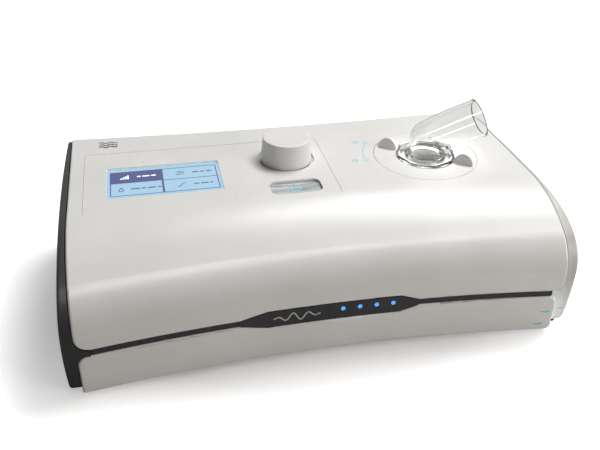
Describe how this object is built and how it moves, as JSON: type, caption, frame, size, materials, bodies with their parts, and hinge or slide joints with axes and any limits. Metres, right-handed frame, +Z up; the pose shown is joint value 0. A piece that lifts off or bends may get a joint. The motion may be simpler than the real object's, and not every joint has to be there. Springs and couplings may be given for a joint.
{
  "type": "mechanical ventilator",
  "caption": "Bedside bi-level breathing ventilator with display panel, control knob, clear swivelling air outlet and a slide-out humidifier tank.",
  "frame": {"origin": "on the table, under the middle of the housing", "axes": "+X to the humidifier's end (right of the front view), +Y to the back, +Z up; the curved front faces -Y"},
  "size_m": [0.2616, 0.1392, 0.1007],
  "materials": {
    "shell_white": "satin",
    "panel_white": "gloss",
    "button_white": "satin",
    "trim_black": "satin",
    "clear_plastic": "gloss",
    "smoked_plastic": "gloss",
    "light_pipe": "gloss",
    "lcd_blue": "gloss",
    "black_plastic": "matte",
    "grey_plastic": "matte",
    "circuit_board": "satin",
    "steel": "brushed",
    "aluminium": "satin",
    "copper": "satin",
    "magnet": "satin",
    "silicone": "matte",
    "rubber_black": "matte",
    "foam": "matte",
    "filter_media": "matte",
    "cap_black": "satin"
  },
  "bodies": {
    "housing": {"top_cover": "shell_white", "base_shell": "shell_white", "left_side_cover": "cap_black", "front_trim_band": "trim_black", "led_light_pipes": "light_pipe", "control_panel": "panel_white", "display_window": "clear_plastic", "lcd_module": "lcd_blue", "lcd_frame": "black_plastic", "display_board": "circuit_board", "board_screws": "steel", "encoder_body": "steel", "power_switch": "steel", "outlet_socket": "shell_white", "outlet_seal": "silicone", "heater_springs": "steel", "bay_wall": "black_plastic", "sound_box_base": "grey_plastic", "sound_box_lid": "grey_plastic", "sound_foam": "foam", "blower_lower_housing": "black_plastic", "blower_upper_housing": "black_plastic", "blower_mounts": "rubber_black", "blower_duct": "silicone", "motor_bearings": "steel", "motor_stator": "copper", "main_board": "circuit_board", "main_board_parts": "black_plastic", "ribbon_cable": "grey_plastic", "flow_sensor": "circuit_board", "rear_panel": "trim_black", "power_jack": "black_plastic", "data_port": "steel", "card_slot": "steel", "filter_frame": "grey_plastic", "air_filter": "filter_media", "rubber_feet": "rubber_black", "housing_screws": "steel"},
    "encoder_press": {"encoder_plunger": "black_plastic"},
    "knob": {"knob": "button_white", "knob_shaft": "aluminium"},
    "power_button": {"power_button": "clear_plastic", "switch_plunger": "black_plastic"},
    "lock_ring": {"lock_ring": "shell_white"},
    "collar": {"outlet_collar": "clear_plastic"},
    "elbow": {"outlet_elbow": "clear_plastic"},
    "tank": {"tank_tub": "clear_plastic", "tank_base_plate": "aluminium", "tank_inlet_tube": "clear_plastic", "tank_gasket": "silicone", "tank_lid": "clear_plastic", "tank_end_cover": "smoked_plastic", "tank_bumper": "rubber_black"},
    "heater": {"heater_plate": "aluminium", "heater_film": "copper"},
    "rotor": {"impeller": "button_white", "rotor_shaft": "steel", "rotor_magnet": "magnet"},
    "filter_door": {"filter_door": "trim_black"},
    "card": {"memory_card": "black_plastic"}
  },
  "joints": [
    {"name": "knob_press", "type": "slide", "parent": "housing", "child": "encoder_press", "axis": [0, 0, -1], "range_m": [0, 0.0008], "stiffness_N_per_m": 1500, "springref_m": -0.0015},
    {"name": "knob_turn", "type": "hinge", "parent": "encoder_press", "child": "knob", "pos_m": [-0.0058, 0.0237, 0.075], "axis": [0, 0, 1], "continuous": true},
    {"name": "power_press", "type": "slide", "parent": "housing", "child": "power_button", "axis": [0, 0, -1], "range_m": [0, 0.0008], "stiffness_N_per_m": 1200, "springref_m": -0.0012},
    {"name": "lock_ring_turn", "type": "hinge", "parent": "housing", "child": "lock_ring", "pos_m": [0.0728, 0.0132, 0.0696], "axis": [0, 0, 1], "range_deg": [0, 36]},
    {"name": "collar_lift", "type": "slide", "parent": "housing", "child": "collar", "axis": [0, 0, 1], "range_m": [0, 0.026]},
    {"name": "elbow_swivel", "type": "hinge", "parent": "collar", "child": "elbow", "pos_m": [0.0728, 0.0132, 0.072], "axis": [0, 0, 1], "continuous": true},
    {"name": "tank_slide", "type": "slide", "parent": "housing", "child": "tank", "axis": [1, 0, 0], "range_m": [0, 0.095]},
    {"name": "heater_float", "type": "slide", "parent": "housing", "child": "heater", "axis": [0, 0, -1], "range_m": [0, 0.0015], "stiffness_N_per_m": 3000, "springref_m": -0.002, "deforming": ["heater_springs"]},
    {"name": "impeller_spin", "type": "hinge", "parent": "housing", "child": "rotor", "pos_m": [-0.014, 0.01, 0.024], "axis": [0, 0, 1], "continuous": true},
    {"name": "filter_door_open", "type": "hinge", "parent": "housing", "child": "filter_door", "pos_m": [-0.018, 0.0646, 0.0152], "axis": [-1, 0, 0], "range_deg": [0, 80]},
    {"name": "card_slide", "type": "slide", "parent": "housing", "child": "card", "axis": [0, 1, 0], "range_m": [0, 0.028]}
  ]
}
